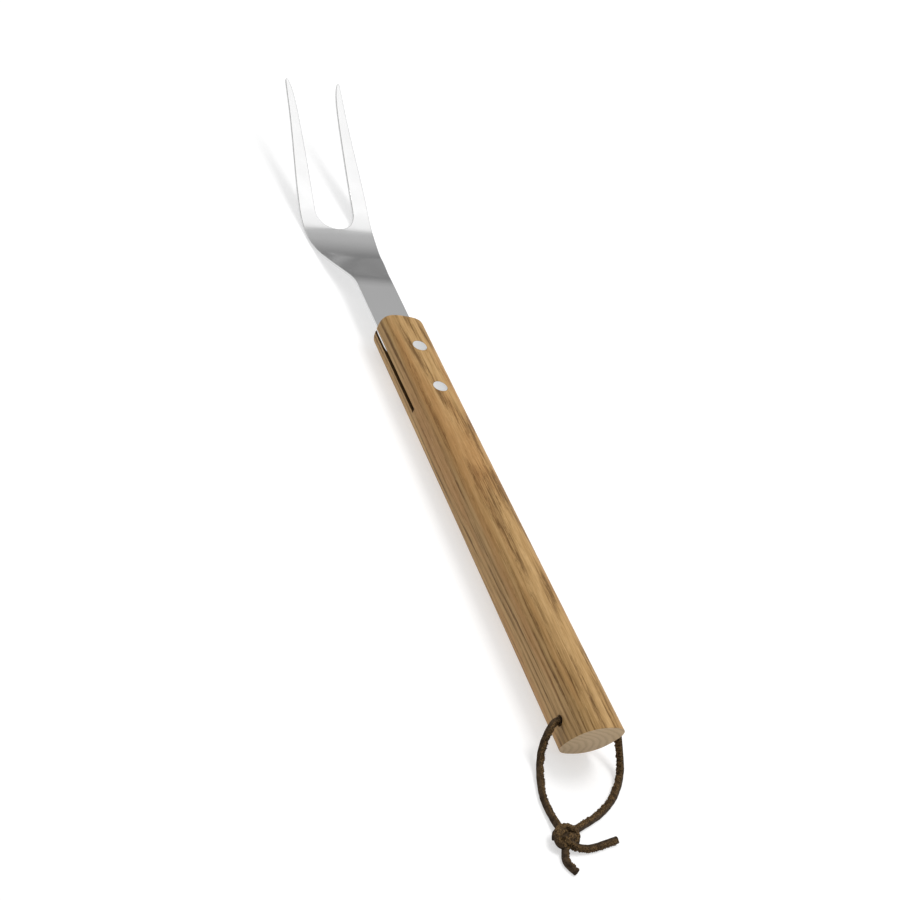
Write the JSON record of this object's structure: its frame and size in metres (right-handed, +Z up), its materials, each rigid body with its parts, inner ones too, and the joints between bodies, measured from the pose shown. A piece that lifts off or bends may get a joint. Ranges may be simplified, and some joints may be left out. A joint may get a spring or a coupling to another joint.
{
  "type": "roasting fork",
  "caption": "Long two-tine roasting fork: cranked steel sheet riveted into a slotted, flared oak handle, with a knotted leather hanging loop through the butt.",
  "frame": {"origin": "on the plane the fork rests on, under the middle of the box of handle and blade", "axes": "+Y from the butt to the tines, +Z up away from the resting plane, +X to the right when looking from the butt to the tines"},
  "size_m": [0.0468, 0.4835, 0.0325],
  "materials": {
    "oak": "oiled, satin, open grain",
    "steel_sheet": "satin stainless sheet",
    "rivet_steel": "ground flush with the wood",
    "leather": "dark brown, fuzzy flesh side"
  },
  "bodies": {
    "fork": {"handle": "oak", "fork_blade": "steel_sheet", "front_rivet_barrel": "rivet_steel", "front_rivet_pin": "rivet_steel", "rear_rivet_barrel": "rivet_steel", "rear_rivet_pin": "rivet_steel"},
    "lanyard": {"lanyard_bore_run": "leather", "lanyard_left_strand": "leather", "lanyard_right_strand": "leather", "lanyard_knot": "leather", "lanyard_right_tail": "leather", "lanyard_lower_tail": "leather"}
  },
  "joints": [
    {"name": "lanyard_swing", "type": "hinge", "parent": "fork", "child": "lanyard", "pos_m": [0, -0.198, 0.01566], "axis": [-1, 0, 0], "range_deg": [0, 150]}
  ]
}
